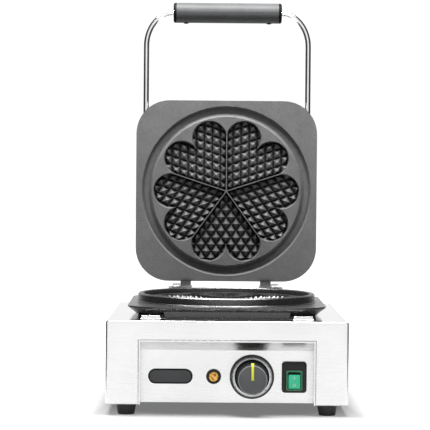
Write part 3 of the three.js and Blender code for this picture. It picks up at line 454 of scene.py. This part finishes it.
def make_looks():
    add_brushed("stainless", grey(0.8), 0.26, 0.08, 2600)
    add_brushed("bezel_metal", (0.62, 0.63, 0.64), 0.24, 0.2, 3200)
    add_iron("cast_iron", (0.115, 0.115, 0.116), (0.14, 0.14, 0.141), 0.14, 0.34)
    # Darker, glossier copy of the cast iron for the lower plate: its darker colour is painted shade.
    add_iron("shaded_lower_iron", grey(0.02), grey(0.03), 1.0, 0.27)
    LOOKS["galvanised"] = galvanised_look()
    LOOKS["chrome"] = polished_look("chrome", (0.92, 0.925, 0.93), 0.14)
    add_steel("hinge_steel", (0.05, 0.05, 0.051), (0.13, 0.131, 0.133), 0.5)
    add_steel("hose_steel", (0.38, 0.38, 0.39), (0.6, 0.61, 0.62), 0.3)
    add_steel("element_steel", (0.1, 0.085, 0.07), (0.24, 0.22, 0.2), 0.45)
    add_plastic("black_rubber", (0.012, 0.012, 0.013), 0.55, 1800, 0.06 * MM)
    add_plastic("grip_plastic", (0.055, 0.056, 0.057), 0.45, 2400, 0.04 * MM, Specular_IOR_Level=0.12)
    add_plastic("grip_end", grey(0.005), 0.6, Specular_IOR_Level=0.05)
    add_plastic("knob_plastic", (0.012, 0.012, 0.013), 0.7, Specular_IOR_Level=0.08)
    add_plastic("knob_face", (0.1, 0.103, 0.106), 0.4)
    # Pale grey band round the edge of the knob's face: a painted highlight.
    add_plastic("knob_rim_highlight", (0.3, 0.31, 0.32), 0.3)
    add_plastic("pointer_yellow", (0.78, 0.82, 0.05), 0.35)
    add_plastic("switch_plastic", (0.014, 0.014, 0.015), 0.3, Specular_IOR_Level=0.35)
    add_plastic("badge_grey", (0.05, 0.053, 0.056), 0.4)
    add_plastic("boot_green", (0.15, 0.36, 0.22), 0.22)
    add_plastic("switch_green", (0.02, 0.5, 0.27), 0.22,
                Emission_Color=(0.03, 0.55, 0.3, 1), Emission_Strength=0.35)
    LOOKS["lamp_amber"] = lens_look()
    add_plastic("terminal_cream", (0.7, 0.66, 0.55), 0.6)
    LOOKS["insulation"] = fibre_look()
    add_plastic("white_print", (0.85, 0.87, 0.85), 0.4)
    add_plastic("black_print", (0.02, 0.02, 0.022), 0.4)


# ---------------------------------------------------------------- the CAD nodes that stay
def weld(piece):
    joined = piece.modifiers.new("weld", "WELD")
    joined.merge_threshold = WELD_DISTANCE


def even_out(piece):
    """Lets the large flat faces keep their own direction, so that they stay flat to the eye."""
    even = piece.modifiers.new("even", "WEIGHTED_NORMAL")
    even.mode = "FACE_AREA"
    even.keep_sharp = True


def soften(piece, width):
    """Rounds the sharp edges of a CAD node with modifiers, leaving its mesh as it is."""
    weld(piece)
    flatten = piece.modifiers.new("flatten", "DECIMATE")
    flatten.decimate_type = "DISSOLVE"
    flatten.angle_limit = math.radians(0.5)
    piece.modifiers.new("triangles", "TRIANGULATE")
    edge = piece.modifiers.new("edge", "BEVEL")
    edge.width = width
    edge.segments = 2
    edge.limit_method = "ANGLE"
    edge.angle_limit = math.radians(SHARP_ANGLE)
    edge.use_clamp_overlap = True
    even_out(piece)


def split_edges(piece):
    """Keeps the edges of a CAD node crisp and its curves smooth."""
    weld(piece)
    crisp = piece.modifiers.new("crisp", "EDGE_SPLIT")
    crisp.split_angle = math.radians(SHARP_ANGLE)
    even_out(piece)


def dress(piece, look):
    mesh = piece.data
    normals = mesh.attributes.get("custom_normal")
    if normals is not None:
        mesh.attributes.remove(normals)
    mesh.polygons.foreach_set("use_smooth", [True] * len(mesh.polygons))
    for slot in piece.material_slots:
        slot.material = LOOKS[look]


def dress_frame():
    slots = {row["node"]: row["material_slot"] for row in frame["record"]["subparts"]}
    for node, piece in frame["nodes"].items():
        dress(piece, SPECIAL_LOOKS.get(node, slots[node]))
        if node in EDGE_WIDTHS:
            soften(piece, EDGE_WIDTHS[node])
        else:
            split_edges(piece)


# ---------------------------------------------------------------- mesh building
BOX_FACES = ((3, 2, 1, 0), (4, 5, 6, 7), (0, 1, 5, 4), (1, 2, 6, 5), (2, 3, 7, 6), (3, 0, 4, 7))


def new_piece(name, vertices, faces, looks, face_looks=None, sharp=SHARP_ANGLE):
    """A piece from vertices and faces, smooth except where faces meet at more than sharp degrees."""
    mesh = bpy.data.meshes.new(name)
    mesh.from_pydata(vertices, [], faces)
    form = bmesh.new()
    form.from_mesh(mesh)
    bmesh.ops.recalc_face_normals(form, faces=form.faces)
    form.to_mesh(mesh)
    form.free()
    for look in looks:
        mesh.materials.append(LOOKS[look])
    if face_looks:
        mesh.polygons.foreach_set("material_index", face_looks)
    mesh.polygons.foreach_set("use_smooth", [True] * len(mesh.polygons))
    mesh.set_sharp_from_angle(angle=math.radians(sharp))
    piece = bpy.data.objects.new(name, mesh)
    bpy.context.scene.collection.objects.link(piece)
    return piece


def skin(name, rings, looks, ring_looks=None, closed=False, sharp=SHARP_ANGLE):
    """A skin over rings of points. It ends in flat caps, or runs round into itself if closed."""
    count = len(rings[0])
    vertices = [point for ring in rings for point in ring]
    spans = len(rings) if closed else len(rings) - 1
    ring_looks = ring_looks or [0] * spans
    faces, face_looks = [], []
    for k in range(spans):
        here, there = k * count, (k + 1) % len(rings) * count
        for i in range(count):
            j = (i + 1) % count
            faces.append((here + i, here + j, there + j, there + i))
            face_looks.append(ring_looks[k])
    if not closed:
        faces.append(tuple(reversed(range(count))))
        faces.append(tuple(range(spans * count, (spans + 1) * count)))
        face_looks += [ring_looks[0], ring_looks[-1]]
    return new_piece(name, vertices, faces, looks, face_looks, sharp)


def turned(name, profile, centre, looks, ring_looks=None, closed=False, segments=72):
    """A profile of (radius, distance towards the front) turned about an axis from back to front."""
    rings = []
    for radius, out in profile:
        ring = []
        for i in range(segments):
            angle = TURN * i / segments
            ring.append(centre + Vector((radius * math.cos(angle), -out, radius * math.sin(angle))))
        rings.append(ring)
    return skin(name, rings, looks, ring_looks, closed, CONTROL_SHARP_ANGLE)


def arc(centre, radius, start, end, steps):
    """Points of an arc, angles in degrees."""
    points = []
    for i in range(steps + 1):
        angle = math.radians(start + (end - start) * i / steps)
        points.append((centre[0] + radius * math.cos(angle), centre[1] + radius * math.sin(angle)))
    return points


def direction_at(path, i):
    return (path[min(i + 1, len(path) - 1)] - path[max(i - 1, 0)]).normalized()


def smooth_path(knots, step):
    """Points about step apart on a smooth curve through the knots."""
    points = []
    for i in range(len(knots) - 1):
        before = knots[max(i - 1, 0)]
        a, b = knots[i], knots[i + 1]
        after = knots[min(i + 2, len(knots) - 1)]
        count = max(1, round((b - a).length / step))
        for k in range(count):
            t = k / count
            points.append(0.5 * (2 * a + (b - before) * t + (2 * before - 5 * a + 4 * b - after) * t * t
                                 + (3 * a - before - 3 * b + after) * t ** 3))
    points.append(knots[-1])
    return points


def stands_for(piece, nodes):
    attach(piece, BODY_OF[nodes[0]])
    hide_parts(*nodes)


def adds_to(piece, node):
    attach(piece, BODY_OF[node])


# ---------------------------------------------------------------- handle
def handle_bow():
    """The chromed rod: two uprights joined to a crosspiece by elliptical bends."""
    box_low, box_high = low("handle_bow"), high("handle_bow")
    side, top = box_high.x - ROD_RADIUS, box_high.z - ROD_RADIUS
    y = (box_low.y + box_high.y) / 2
    path = [Vector((-side, y, box_low.z))]
    for middle_x, start in ((-side + BEND_WIDTH, math.pi), (side - BEND_WIDTH, QUARTER)):
        for i in range(BEND_STEPS + 1):
            angle = start - QUARTER * i / BEND_STEPS
            across, up = BEND_WIDTH * math.cos(angle), BEND_HEIGHT * math.sin(angle)
            path.append(Vector((middle_x + across, y, top - BEND_HEIGHT + up)))
    path.append(Vector((side, y, box_low.z)))
    back, upright = Vector((0, 1, 0)), Vector((0, 0, 1))
    rings = []
    for i, point in enumerate(path):
        along = direction_at(path, i)
        if i == 0:
            along = upright
        elif i == len(path) - 1:
            along = -upright
        out = back.cross(along).normalized()
        ring = []
        for k in range(ROD_SIDES):
            angle = TURN * k / ROD_SIDES
            ring.append(point + ROD_RADIUS * (math.cos(angle) * back + math.sin(angle) * out))
        rings.append(ring)
    piece = skin("chromed_bow", rings, ["chrome"])
    stands_for(piece, ["handle_bow"])


def half_ring(centre, x, radius, steps, turn, flip):
    """Points of a half circle across the grip, above or below its split."""
    points = []
    for i in range(steps + 1):
        angle = math.pi * (steps - i if flip else i) / steps
        up = turn * max(GRIP_SPLIT, radius * math.sin(angle))
        points.append(centre + Vector((x, radius * math.cos(angle), up)))
    return points


def grip_shell(name, node, upper):
    """Half of the moulded grip: a barrel with dark rounded ends and a fine groove beside each."""
    centre = Vector((0, middle("grip_upper_half").y, low("grip_upper_half").z - GRIP_SPLIT))
    stations = []
    for degrees in (0, 30, 60, 90):
        angle = math.radians(degrees)
        inward = GRIP_END_ROUND * (1 - math.cos(angle))
        lower = GRIP_END_ROUND * (1 - math.sin(angle))
        stations.append((GRIP_HALF_LENGTH - inward, GRIP_RADIUS - lower))
    groove = GRIP_HALF_LENGTH - GROOVE_FROM_END
    stations += [
        (groove + GROOVE_TOP_HALF, GRIP_RADIUS), (groove + GROOVE_FLOOR_HALF, GRIP_RADIUS - GROOVE_DEPTH),
        (groove - GROOVE_FLOOR_HALF, GRIP_RADIUS - GROOVE_DEPTH), (groove - GROOVE_TOP_HALF, GRIP_RADIUS),
    ]
    profile = [(-x, radius) for x, radius in stations] + [(x, radius) for x, radius in reversed(stations)]
    turn = 1 if upper else -1
    rings = []
    for x, radius in profile:
        outside = half_ring(centre, x, radius, 32, turn, False)
        rings.append(outside + half_ring(centre, x, GRIP_BORE, 12, turn, True))
    dark = len(stations) - 2
    ring_looks = [1] * dark + [0] * (len(profile) - 1 - 2 * dark) + [1] * dark
    piece = skin(name, rings, ["grip_plastic", "grip_end"], ring_looks)
    stands_for(piece, [node])


# ---------------------------------------------------------------- knob and dial plate
def knob():
    """A black knob on a low skirt, with a grey face inside a thin pale rim, whose pale grey is a painted
    highlight.
    """
    centre = Vector((middle("thermostat_knob").x, 0, middle("thermostat_knob").z))
    back, front = -high("thermostat_knob").y, -low("thermostat_knob").y
    chamfer, face_corner = 0.6 * MM, (KNOB_FACE - KNOB_ROUND, front - KNOB_ROUND)
    skirt_corner = (KNOB_SKIRT - KNOB_ROUND, back + SKIRT_HEIGHT - 1.4 * MM)
    profile = [(KNOB_SHAFT, back), (KNOB_SKIRT - chamfer, back), (KNOB_SKIRT, back + chamfer)]
    profile += arc(skirt_corner, KNOB_ROUND, 0, 90, 5)
    profile += [(KNOB_NECK, back + SKIRT_HEIGHT)]
    profile += arc(face_corner, KNOB_ROUND, 5, 50, 4)
    black = len(profile) - 1
    profile += arc(face_corner, KNOB_ROUND, 60, 90, 3)
    rim = len(profile) - 1
    profile += [(KNOB_FACE - 1.6 * MM, front - FACE_DEPTH), (0.1 * MM, front - FACE_DEPTH)]
    # The rounded band next to the face gets the painted highlight.
    ring_looks = [0] * black + [2] * (rim - black) + [1] * (len(profile) - 1 - rim)
    looks = ["knob_plastic", "knob_face", "knob_rim_highlight"]
    piece = turned("dial_knob", profile, centre, looks, ring_looks, segments=96)
    stands_for(piece, ["thermostat_knob"])
    return centre, front


def pointer(centre, front):
    """The raised strip that runs up the knob's face and over its rim."""
    half, rise, bevel = POINTER_HALF, POINTER_RISE, 0.3 * MM
    sunk, proud, back_end = front - 1.2 * MM, front + 0.4 * MM, front - POINTER_DROP
    side = [
        (sunk, -bevel), (proud, -bevel), (proud, rise - 1.2 * MM), (front - 0.2 * MM, rise - 0.2 * MM),
        (sunk, rise + 0.5 * MM), (back_end, rise + 1.6 * MM), (back_end, rise - 0.6 * MM),
    ]
    rings = []
    for x, inset in ((-half, bevel), (-half + bevel, 0), (half - bevel, 0), (half, bevel)):
        ring = []
        for out, up in side:
            depth = out - inset if out > front - 0.5 * MM else out
            ring.append(centre + Vector((x, -depth, up)))
        rings.append(ring)
    piece = skin("dial_pointer", rings, ["pointer_yellow"])
    stands_for(piece, ["knob_pointer"])


def bezel(centre):
    """The dial plate: a dished silver ring in a thin black edge."""
    back, front = -high("knob_bezel").y, -low("knob_bezel").y
    corner = 0.6 * MM
    profile = [(DIAL_HOLE, back), (DIAL_RADIUS, back), (DIAL_RADIUS, front - 0.5 * MM)]
    profile += arc((DIAL_RADIUS - corner, front - corner), corner, 10, 90, 4)
    profile += [(DIAL_RADIUS - 1.2 * MM, front), (DIAL_RADIUS - 1.4 * MM, front - 0.3 * MM)]
    black_rings = len(profile) - 1
    profile += [(DIAL_DISH, front - 0.8 * MM), (DIAL_INNER, front - 0.6 * MM), (DIAL_HOLE, front - 0.6 * MM)]
    ring_looks = [1] * black_rings + [0] * (len(profile) - black_rings)
    piece = turned("dial_plate", profile, centre, ["bezel_metal", "black_print"], ring_looks, True, 96)
    stands_for(piece, ["knob_bezel"])
    dial_marks(centre, front)


def dial_marks(centre, front):
    """A few plain printed marks round the dial plate."""
    vertices, faces = [], []
    for degrees, length, width in DIAL_MARKS:
        turn = Matrix.Rotation(math.radians(degrees), 3, "Y")
        first = len(vertices)
        for out in (front - 0.7 * MM, front - 0.35 * MM):
            for across, along in ((-1, -1), (1, -1), (1, 1), (-1, 1)):
                flat = Vector((across * width * MM / 2, -out, MARK_RADIUS + along * length * MM / 2))
                vertices.append(centre + turn @ flat)
        faces += [tuple(first + i for i in face) for face in BOX_FACES]
    piece = new_piece("dial_marks", vertices, faces, ["black_print"])
    adds_to(piece, "knob_bezel")


# ---------------------------------------------------------------- lamp
def lamp():
    """A signal lamp: a rounded black collar and an amber lens with ring facets."""
    centre = Vector((middle("lamp_ring").x, 0, middle("lamp_ring").z))
    front = -low("lamp_ring").y
    back = front - COLLAR_HEIGHT
    chamfer, seat = 0.4 * MM, front - MOUTH_DEPTH
    profile = [(LAMP_BODY, back - LAMP_BODY_LENGTH), (LAMP_BODY, back), (LAMP_COLLAR, back),
               (LAMP_COLLAR, front - COLLAR_ROUND)]
    profile += arc((LAMP_COLLAR - COLLAR_ROUND, front - COLLAR_ROUND), COLLAR_ROUND, 10, 90, 5)
    profile += [(LAMP_MOUTH + chamfer, front), (LAMP_MOUTH, front - chamfer), (LAMP_MOUTH, seat),
                (0.2 * MM, seat)]
    ring = turned("lamp_collar", profile, centre, ["switch_plastic"])
    stands_for(ring, ["lamp_ring"])
    lens_front, lens_back = -low("lamp_lens").y, -high("lamp_lens").y
    wall = lens_back + LENS_WALL
    rings = [ring_of_facets(centre, LAMP_LENS, lens_back, 0), ring_of_facets(centre, LAMP_LENS, wall, 0)]
    for i in range(1, LENS_STEPS):
        angle = QUARTER * i / LENS_STEPS
        out = wall + (lens_front - wall - 0.2 * MM) * math.sin(angle)
        rings.append(ring_of_facets(centre, LAMP_LENS * math.cos(angle), out, i % 2))
    rings.append(ring_of_facets(centre, 0.25 * MM, lens_front - 0.1 * MM, 0))
    dome = skin("lamp_dome", rings, ["lamp_amber"], sharp=4)
    stands_for(dome, ["lamp_lens"])


def ring_of_facets(centre, radius, out, shift):
    """Corners of a faceted lens, turned by half a facet on every second ring."""
    corners = []
    for i in range(LENS_FACETS):
        angle = math.pi * (2 * i + shift) / LENS_FACETS
        corners.append(centre + Vector((radius * math.cos(angle), -out, radius * math.sin(angle))))
    return corners


# ---------------------------------------------------------------- plates with rounded corners
def rounded_ring(centre, width, height, corner, out):
    """Points of an upright rectangle with rounded corners, at a distance towards the front."""
    points, steps = [], 8
    for k, (side_x, side_z) in enumerate(((1, 1), (-1, 1), (-1, -1), (1, -1))):
        middle_x = centre.x + side_x * (width / 2 - corner)
        middle_z = centre.z + side_z * (height / 2 - corner)
        for i in range(steps + 1):
            angle = QUARTER * (k + i / steps)
            across, up = corner * math.cos(angle), corner * math.sin(angle)
            points.append(Vector((middle_x + across, -out, middle_z + up)))
    return points


def inset_ring(centre, size, inset, corner, out):
    """A rounded ring a little smaller than size all round. A negative inset makes it larger."""
    return rounded_ring(centre, size.x - 2 * inset, size.z - 2 * inset, corner, out)


def switch_frame():
    """The black frame with soft corners, and the narrower body behind the panel."""
    whole_low, whole_high = low("switch_frame"), high("switch_frame")
    centre, size = (whole_low + whole_high) / 2, whole_high - whole_low
    seat, seat_size = middle("switch_boot"), high("switch_boot") - low("switch_boot")
    front, panel, back = -whole_low.y, -high("badge_plate").y, -whole_high.y + FRAME_BODY_END
    body = (size.x - 6 * MM, size.z - 5.2 * MM, 1 * MM)
    seat_floor, hole_floor = panel + 1.2 * MM, panel - ROCKER_DEPTH
    rings = [
        rounded_ring(centre, *body, back),
        rounded_ring(centre, *body, panel),
        inset_ring(centre, size, 0, FRAME_CORNER, panel),
        inset_ring(centre, size, 0, FRAME_CORNER, front - 1.2 * MM),
        inset_ring(centre, size, 0.3 * MM, FRAME_CORNER - 0.3 * MM, front - 0.4 * MM),
        inset_ring(centre, size, 0.9 * MM, FRAME_CORNER - 0.9 * MM, front),
        inset_ring(seat, seat_size, -0.6 * MM, 2.6 * MM, front),
        inset_ring(seat, seat_size, -0.3 * MM, 2.3 * MM, front - 0.5 * MM),
        inset_ring(seat, seat_size, -0.3 * MM, 2.3 * MM, seat_floor),
        rounded_ring(seat, *ROCKER_HOLE, seat_floor),
        rounded_ring(seat, *ROCKER_HOLE, hole_floor),
        rounded_ring(seat, 0.2 * MM, 0.2 * MM, 0.05 * MM, hole_floor),
    ]
    piece = skin("power_switch_frame", rings, ["switch_plastic"], sharp=CONTROL_SHARP_ANGLE)
    stands_for(piece, ["switch_frame"])


def switch_boot():
    """The green surround: a soft raised lip round a dished well."""
    box_low, box_high = low("switch_boot"), high("switch_boot")
    centre, size = (box_low + box_high) / 2, box_high - box_low
    back, front = -box_high.y, -box_low.y
    rings = [
        rounded_ring(centre, *ROCKER_HOLE, back),
        inset_ring(centre, size, 0, 2 * MM, back),
        inset_ring(centre, size, 0, 2 * MM, front - 1.2 * MM),
        inset_ring(centre, size, 0.3 * MM, 2 * MM, front - 0.3 * MM),
        inset_ring(centre, size, 0.8 * MM, 1.8 * MM, front),
        inset_ring(centre, size, 1.3 * MM, 1.4 * MM, front - 0.3 * MM),
        rounded_ring(centre, ROCKER_HOLE[0] + 0.6 * MM, ROCKER_HOLE[1] + 0.6 * MM, 1 * MM, front - 1.4 * MM),
        rounded_ring(centre, *ROCKER_HOLE, front - 1.6 * MM),
    ]
    piece = skin("power_switch_boot", rings, ["boot_green"], None, True, 50)
    stands_for(piece, ["switch_boot"])


def badge():
    """A blank pill-shaped plate with a black raised edge."""
    box_low, box_high = low("badge_plate"), high("badge_plate")
    centre, size = (box_low + box_high) / 2, box_high - box_low
    back, front = -box_high.y, -box_low.y
    profile = [(0, back), (0, front - 0.4 * MM), (0.4 * MM, front), (1.1 * MM, front),
               (1.5 * MM, front - 0.5 * MM)]
    rings = []
    for inset, out in profile:
        corner = size.z / 2 - inset - 0.01 * MM
        rings.append(inset_ring(centre, size, inset, corner, out))
    ring_looks = [1] * (len(profile) - 1) + [0]
    piece = skin("blank_badge", rings, ["badge_grey", "grip_end"], ring_looks)
    stands_for(piece, ["badge_plate"])


def on_rocker(x, up, depth):
    """A point on the rocker's two sloping faces, at a depth above them."""
    pivot = Vector((middle("switch_frame").x, high("badge_plate").y, ROCKER_PIVOT_Z))
    out = ROCKER_CROWN + abs(up) * math.tan(ROCKER_SLOPE) + depth
    return pivot + Matrix.Rotation(ROCKER_TILT, 3, "X") @ Vector((x, -out, up))


def switch_marks():
    """The on bar and the off ring, raised a little on the two faces of the rocker."""
    bar = ((-ON_BAR_HALF, ON_BAR_LOW), (ON_BAR_HALF, ON_BAR_LOW), (ON_BAR_HALF, ON_BAR_HIGH),
           (-ON_BAR_HALF, ON_BAR_HIGH))
    vertices = [on_rocker(x, up, depth) for depth in (MARK_SUNK, MARK_RAISED) for x, up in bar]
    faces = list(BOX_FACES)
    first = len(vertices)
    section = ((OFF_RING_INNER, MARK_SUNK), (OFF_RING_INNER, MARK_RAISED), (OFF_RING_OUTER, MARK_RAISED),
               (OFF_RING_OUTER, MARK_SUNK))
    for i in range(OFF_RING_STEPS):
        angle = TURN * i / OFF_RING_STEPS
        for radius, depth in section:
            x, up = radius * math.cos(angle), OFF_RING_UP + radius * math.sin(angle)
            vertices.append(on_rocker(x, up, depth))
    for i in range(OFF_RING_STEPS):
        here, there = first + 4 * i, first + 4 * ((i + 1) % OFF_RING_STEPS)
        faces += [(here + k, here + (k + 1) % 4, there + (k + 1) % 4, there + k) for k in range(4)]
    piece = new_piece("rocker_marks", vertices, faces, ["white_print"])
    adds_to(piece, "switch_rocker")


# ---------------------------------------------------------------- lead to the lid
def lead_conduit():
    """A ribbed metal hose, bent round the hinge from the housing up to the open lid."""
    box_low, box_high = low("lid_conduit"), high("lid_conduit")
    x = (box_low.x + box_high.x) / 2
    radius = (box_high.x - box_low.x) / 2
    root_y, lid_y = box_low.y + radius, box_high.y - radius
    top = HOUSING_TOP
    knots = [(root_y, box_low.z), (root_y + 0.4 * MM, top + 5 * MM), (root_y + 5.6 * MM, top + 16 * MM),
             (lid_y - 1.5 * MM, top + 26 * MM), (lid_y, top + 37 * MM), (lid_y, top + 51 * MM),
             (lid_y, box_high.z)]
    path = smooth_path([Vector((x, y, z)) for y, z in knots], RIB_PITCH)
    sides, across = 20, Vector((1, 0, 0))
    rings = []
    for i, point in enumerate(path):
        out = direction_at(path, i).cross(across).normalized()
        rib = radius * (1 if (i // 2) % 2 else RIB_WAIST)
        ring = []
        for k in range(sides):
            angle = TURN * k / sides
            ring.append(point + rib * (math.cos(angle) * across + math.sin(angle) * out))
        rings.append(ring)
    piece = skin("lead_hose", rings, ["hose_steel"])
    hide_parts("lid_conduit")
    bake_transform(piece)


make_camera()
make_looks()
make_world()
make_light()
make_floor()
dress_frame()
handle_bow()
grip_shell("grip_top_shell", "grip_upper_half", True)
grip_shell("grip_under_shell", "grip_lower_half", False)
knob_centre, knob_front = knob()
pointer(knob_centre, knob_front)
bezel(knob_centre)
lamp()
switch_frame()
switch_boot()
badge()
switch_marks()
lead_conduit()
bpy.context.scene.view_settings.view_transform = "Standard"
